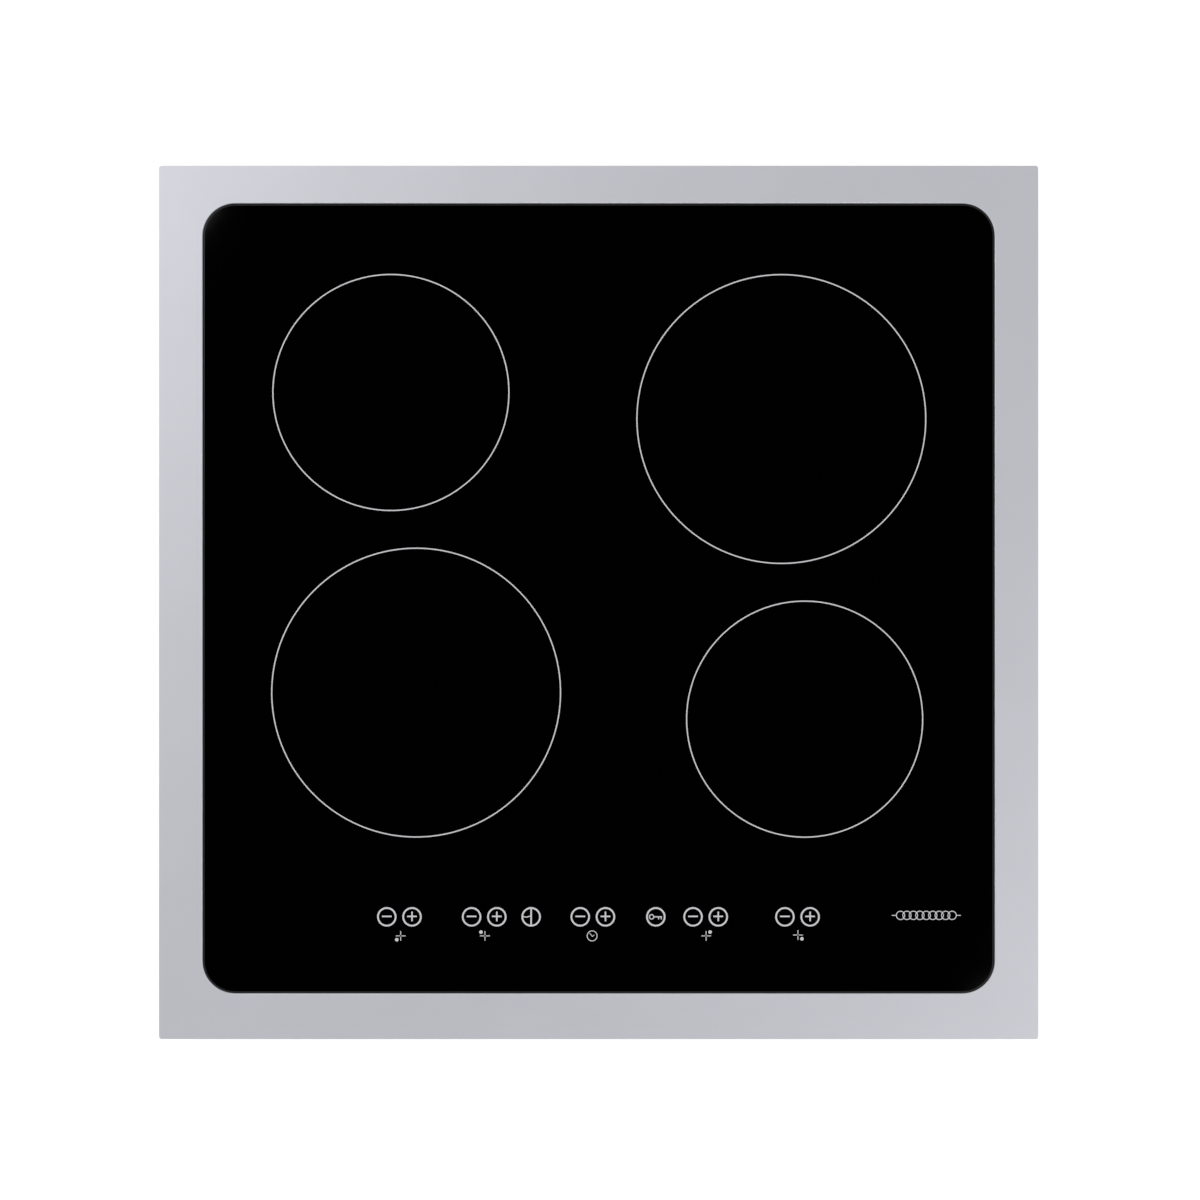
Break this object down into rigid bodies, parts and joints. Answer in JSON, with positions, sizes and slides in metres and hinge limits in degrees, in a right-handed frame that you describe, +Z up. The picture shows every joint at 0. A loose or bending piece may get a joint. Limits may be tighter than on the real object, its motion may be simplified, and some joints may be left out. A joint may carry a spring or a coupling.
{
  "type": "built-in induction cooktop",
  "caption": "Square built-in induction cooktop: black glass with printed round zones and touch keys in a flat brushed steel frame, over a vented casing with coils and fans.",
  "frame": {"origin": "centre of the outline, at the underside of the casing", "axes": "+X to the user's right, +Y towards the rear, +Z up"},
  "size_m": [0.6, 0.596, 0.056],
  "materials": {
    "black_glass": "polished opaque black glass ceramic",
    "brushed_trim": "finely brushed stainless steel",
    "silicone": "matt black silicone",
    "foam": "closed-cell foam",
    "print": "fired light grey enamel",
    "galvanised_sheet": "hot-dip galvanised sheet",
    "zinc_screw": "bright zinc plate",
    "zinc_post": "zinc plate",
    "zinc_bracket": "zinc plate",
    "black_plastic": "fine moulded grain",
    "carrier_plastic": "glass-filled moulding",
    "terminal_plastic": "fine moulded grain",
    "gland_plastic": "fine moulded grain",
    "fan_plastic": "fine moulded grain",
    "impeller_plastic": "smooth moulded",
    "moulded_epoxy": "moulded epoxy",
    "motor_steel": "dark steel laminations",
    "lead_sleeve": "red silicone sleeve",
    "wire_insulation": "satin insulation",
    "circuit_board": "green solder mask",
    "contact_foam": "conductive foam",
    "filter_parts": "board with moulded parts",
    "board_parts": "moulded cases and cans",
    "terminal_ivory": "satin moulding",
    "copper_winding": "enamelled copper litz",
    "ferrite": "sintered, matt",
    "mica": "pressed mica",
    "sensor_ceramic": "unglazed",
    "tray_aluminium": "mill finish",
    "sink_aluminium": "extruded",
    "spring_steel": "bright spring wire",
    "brass_nut": "machined"
  },
  "bodies": {
    "cooktop": {"glass_top": "black_glass", "trim_frame": "brushed_trim", "glass_adhesive": "silicone", "worktop_seal": "foam", "zone_ring_print": "print", "control_symbol_print": "print", "base_casing": "galvanised_sheet", "casing_screws": "zinc_screw", "tray_posts": "zinc_post", "board_carriers": "black_plastic", "power_transistors": "moulded_epoxy", "fan_motors": "motor_steel", "coil_leads": "lead_sleeve", "wiring_harness": "wire_insulation", "ui_carrier": "black_plastic", "ui_board": "circuit_board", "touch_pads": "contact_foam", "filter_board": "filter_parts", "terminal_housing": "terminal_plastic", "terminal_block": "terminal_ivory", "cable_gland": "gland_plastic", "clamp_brackets": "zinc_bracket", "clamp_screws": "zinc_screw", "tray_springs_left": "spring_steel", "power_board_left": "circuit_board", "heat_sink_left": "sink_aluminium", "board_components_left": "board_parts", "fan_housing_left": "fan_plastic", "tray_springs_right": "spring_steel", "power_board_right": "circuit_board", "heat_sink_right": "sink_aluminium", "board_components_right": "board_parts", "fan_housing_right": "fan_plastic"},
    "coil_unit_left": {"coil_tray_left": "tray_aluminium", "coil_winding_rear_left": "copper_winding", "coil_winding_front_left": "copper_winding", "coil_carrier_rear_left": "carrier_plastic", "coil_carrier_front_left": "carrier_plastic", "ferrite_bars_left": "ferrite", "mica_sheets_left": "mica", "temperature_sensors_left": "sensor_ceramic"},
    "fan_rotor_left": {"fan_impeller_left": "impeller_plastic"},
    "coil_unit_right": {"coil_tray_right": "tray_aluminium", "coil_winding_rear_right": "copper_winding", "coil_winding_front_right": "copper_winding", "coil_carrier_rear_right": "carrier_plastic", "coil_carrier_front_right": "carrier_plastic", "ferrite_bars_right": "ferrite", "mica_sheets_right": "mica", "temperature_sensors_right": "sensor_ceramic"},
    "fan_rotor_right": {"fan_impeller_right": "impeller_plastic"},
    "terminal_cover": {"terminal_cover": "terminal_plastic"},
    "clamp_nut_front_left": {"clamp_nut_front_left": "brass_nut"},
    "clamp_arm_front_left": {"clamp_arm_front_left": "zinc_bracket"},
    "clamp_nut_rear_left": {"clamp_nut_rear_left": "brass_nut"},
    "clamp_arm_rear_left": {"clamp_arm_rear_left": "zinc_bracket"},
    "clamp_nut_front_right": {"clamp_nut_front_right": "brass_nut"},
    "clamp_arm_front_right": {"clamp_arm_front_right": "zinc_bracket"},
    "clamp_nut_rear_right": {"clamp_nut_rear_right": "brass_nut"},
    "clamp_arm_rear_right": {"clamp_arm_rear_right": "zinc_bracket"}
  },
  "joints": [
    {"name": "coil_unit_left_float", "type": "slide", "parent": "cooktop", "child": "coil_unit_left", "axis": [0, 0, 1], "range_m": [-0.003, 0], "stiffness_N_per_m": 10000, "springref_m": 0.004, "deforming": ["tray_springs_left", "coil_leads"]},
    {"name": "fan_left_spin", "type": "hinge", "parent": "cooktop", "child": "fan_rotor_left", "pos_m": [-0.185, 0.181, 0.013], "axis": [0, 0, 1], "continuous": true},
    {"name": "coil_unit_right_float", "type": "slide", "parent": "cooktop", "child": "coil_unit_right", "axis": [0, 0, 1], "range_m": [-0.003, 0], "stiffness_N_per_m": 10000, "springref_m": 0.004, "deforming": ["tray_springs_right", "coil_leads"]},
    {"name": "fan_right_spin", "type": "hinge", "parent": "cooktop", "child": "fan_rotor_right", "pos_m": [0.185, 0.181, 0.013], "axis": [0, 0, 1], "continuous": true},
    {"name": "terminal_cover_hinge", "type": "hinge", "parent": "cooktop", "child": "terminal_cover", "pos_m": [0, 0.276, 0.0445], "axis": [1, 0, 0], "range_deg": [0, 90]},
    {"name": "clamp_front_left_climb", "type": "slide", "parent": "cooktop", "child": "clamp_nut_front_left", "axis": [0, 0, 1], "range_m": [0, 0.018]},
    {"name": "clamp_front_left_swivel", "type": "hinge", "parent": "clamp_nut_front_left", "child": "clamp_arm_front_left", "pos_m": [-0.2755, -0.19, 0.0153], "axis": [0, 0, 1], "range_deg": [0, 90]},
    {"name": "clamp_rear_left_climb", "type": "slide", "parent": "cooktop", "child": "clamp_nut_rear_left", "axis": [0, 0, 1], "range_m": [0, 0.018]},
    {"name": "clamp_rear_left_swivel", "type": "hinge", "parent": "clamp_nut_rear_left", "child": "clamp_arm_rear_left", "pos_m": [-0.2755, 0.19, 0.0153], "axis": [0, 0, 1], "range_deg": [0, 90]},
    {"name": "clamp_front_right_climb", "type": "slide", "parent": "cooktop", "child": "clamp_nut_front_right", "axis": [0, 0, 1], "range_m": [0, 0.018]},
    {"name": "clamp_front_right_swivel", "type": "hinge", "parent": "clamp_nut_front_right", "child": "clamp_arm_front_right", "pos_m": [0.2755, -0.19, 0.0153], "axis": [0, 0, -1], "range_deg": [0, 90]},
    {"name": "clamp_rear_right_climb", "type": "slide", "parent": "cooktop", "child": "clamp_nut_rear_right", "axis": [0, 0, 1], "range_m": [0, 0.018]},
    {"name": "clamp_rear_right_swivel", "type": "hinge", "parent": "clamp_nut_rear_right", "child": "clamp_arm_rear_right", "pos_m": [0.2755, 0.19, 0.0153], "axis": [0, 0, -1], "range_deg": [0, 90]}
  ]
}
